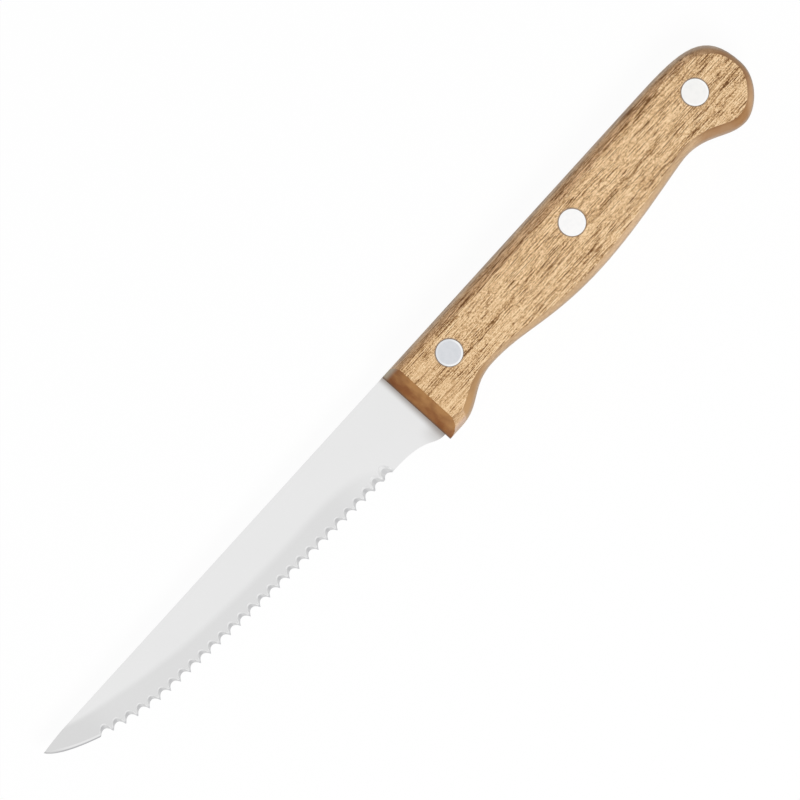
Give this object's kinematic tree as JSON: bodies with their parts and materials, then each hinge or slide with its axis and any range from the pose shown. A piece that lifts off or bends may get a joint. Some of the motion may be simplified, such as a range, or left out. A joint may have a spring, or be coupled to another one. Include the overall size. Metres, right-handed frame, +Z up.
{
  "type": "steak knife",
  "caption": "Scalloped steak knife with a full tang between two contoured wooden handle scales, held by flush cutler's rivets, with a hooked butt.",
  "frame": {"origin": "centre of the knife's bounding box at its lowest face, on the surface it lies on", "axes": "+X along the blade towards the tip, +Y across the blade towards the cutting edge, +Z up out of the left face, away from the surface the knife lies on"},
  "size_m": [0.215, 0.0216, 0.0133],
  "materials": {
    "blade_steel": "satin stainless steel with a lengthwise polish",
    "handle_wood": "open-pored light brown hardwood, oiled",
    "rivet_steel": "polished flush with the wood"
  },
  "bodies": {
    "root": {"blade": "blade_steel", "left_scale": "handle_wood", "right_scale": "handle_wood", "front_rivet_pin": "rivet_steel", "front_rivet_socket": "rivet_steel", "middle_rivet_pin": "rivet_steel", "middle_rivet_socket": "rivet_steel", "rear_rivet_pin": "rivet_steel", "rear_rivet_socket": "rivet_steel"}
  },
  "joints": []
}
